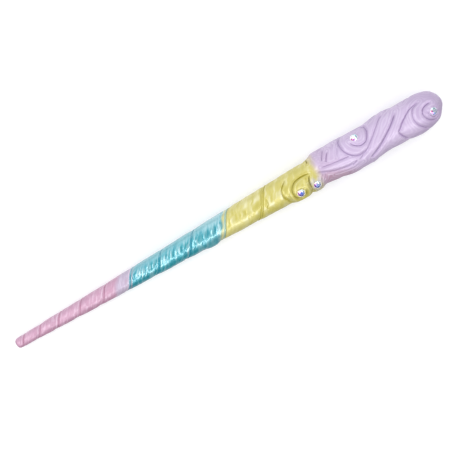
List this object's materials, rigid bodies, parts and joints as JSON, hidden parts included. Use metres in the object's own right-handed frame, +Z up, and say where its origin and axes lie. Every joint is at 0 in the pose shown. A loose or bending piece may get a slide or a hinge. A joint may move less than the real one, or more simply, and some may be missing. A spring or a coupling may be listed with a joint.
{
  "type": "decorated fantasy wand",
  "caption": "Tapered, spiral-beaded wand with a twisted-strand grip and rolled scrolls, each set with a faceted stone; laid on its side.",
  "frame": {"origin": "centre of the wand's footprint, on the surface that it lies on", "axes": "+X from the tip towards the butt, +Z up, stones facing up"},
  "size_m": [0.3298, 0.0266, 0.0283],
  "materials": {
    "rod_steel": "drawn steel rod",
    "pink_pearl": "cast resin, pearl pink airbrushed paint, gloss lacquer",
    "aqua_pearl": "cast resin, pearl aqua airbrushed paint, high gloss lacquer",
    "yellow_pearl": "cast resin, pearl yellow airbrushed paint, gloss lacquer",
    "lilac_pearl": "cast resin, pearl lilac airbrushed paint, gloss lacquer",
    "stone_glass": "faceted clear glass with a rainbow film coating",
    "clear_adhesive": "cured clear adhesive"
  },
  "bodies": {
    "root": {"core_rod": "rod_steel", "tip_section": "pink_pearl", "middle_section": "aqua_pearl", "upper_section": "yellow_pearl", "grip": "lilac_pearl", "butt_scroll": "lilac_pearl", "butt_stone": "stone_glass", "butt_adhesive": "clear_adhesive", "grip_scroll": "lilac_pearl", "grip_stone": "stone_glass", "grip_adhesive": "clear_adhesive", "collar_scroll": "yellow_pearl", "collar_stone": "stone_glass", "collar_adhesive": "clear_adhesive", "small_scroll": "yellow_pearl", "small_stone": "stone_glass", "small_adhesive": "clear_adhesive"}
  },
  "joints": []
}
